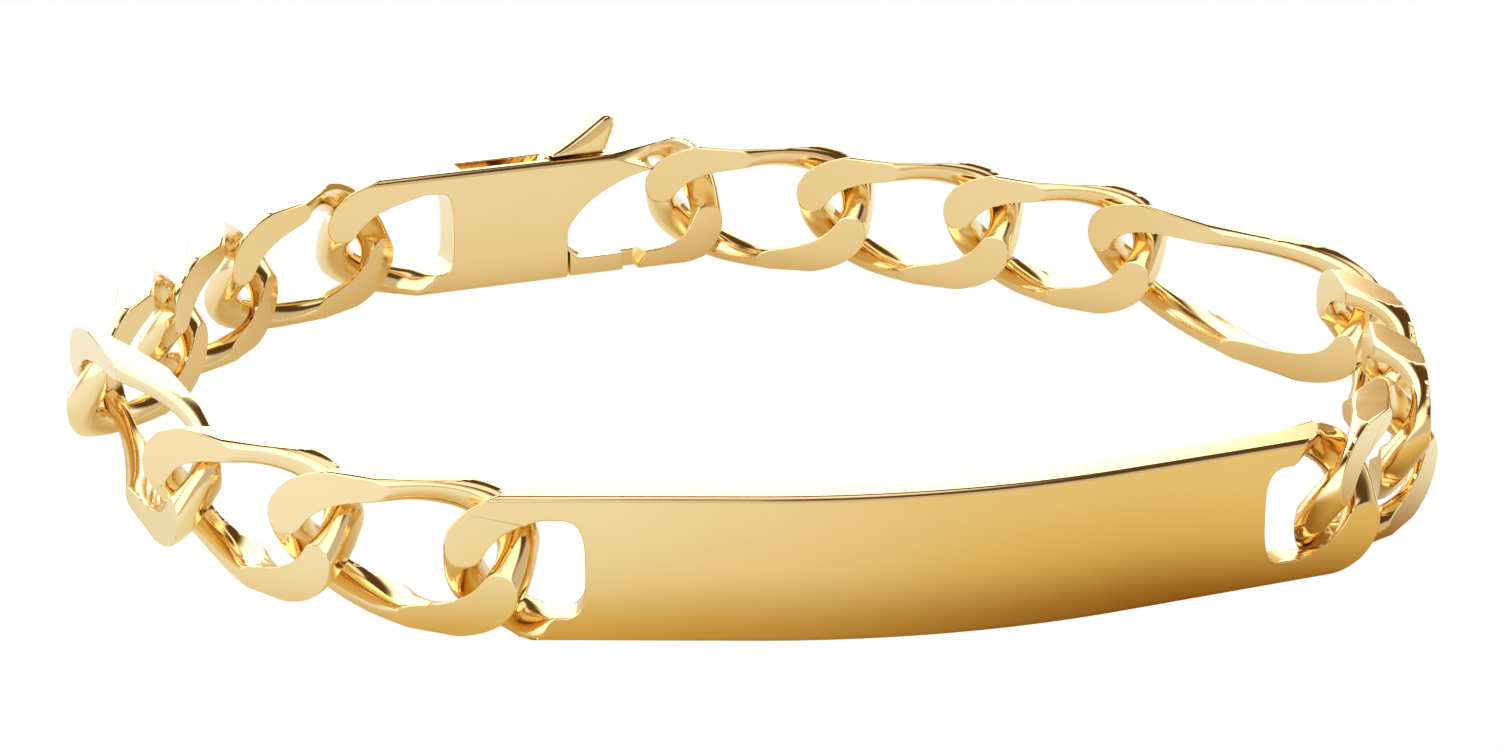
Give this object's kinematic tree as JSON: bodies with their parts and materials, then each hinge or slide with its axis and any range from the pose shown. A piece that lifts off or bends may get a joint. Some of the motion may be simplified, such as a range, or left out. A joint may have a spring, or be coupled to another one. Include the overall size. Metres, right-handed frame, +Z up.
{
  "type": "id bracelet",
  "caption": "Closed identity bracelet: bent blank plate with an eye at each end, flat-ground curb chain of short and long links, and a lobster clasp with a hinged lever.",
  "frame": {"origin": "centre of the bracelet's footprint, on the surface that it stands on, standing on its edge", "axes": "+Z up through the middle of the loop, -Y towards the side where the plate is, +X to the right as seen from in front of the plate"},
  "size_m": [0.0682, 0.0611, 0.0093],
  "materials": {
    "plate_gold": "polished gold, mirror bright",
    "chain_gold": "polished gold, ground flat and bright",
    "clasp_gold": "polished gold"
  },
  "bodies": {
    "bracelet": {"id_plate": "plate_gold", "clasp_body": "clasp_gold", "short_link_01": "chain_gold", "short_link_02": "chain_gold", "short_link_03": "chain_gold", "short_link_04": "chain_gold", "short_link_05": "chain_gold", "short_link_06": "chain_gold", "short_link_07": "chain_gold", "short_link_08": "chain_gold", "short_link_09": "chain_gold", "short_link_10": "chain_gold", "short_link_11": "chain_gold", "long_link_1": "chain_gold", "long_link_2": "chain_gold"},
    "lever": {"clasp_lever": "clasp_gold"}
  },
  "joints": [
    {"name": "clasp_lever_hinge", "type": "hinge", "parent": "bracelet", "child": "lever", "pos_m": [-0.013, 0.02463, 0.0029], "axis": [0.3906, -0.9206, 0], "range_deg": [0, 20], "stiffness_Nm_per_rad": 0.001, "springref_deg": -20.05}
  ]
}
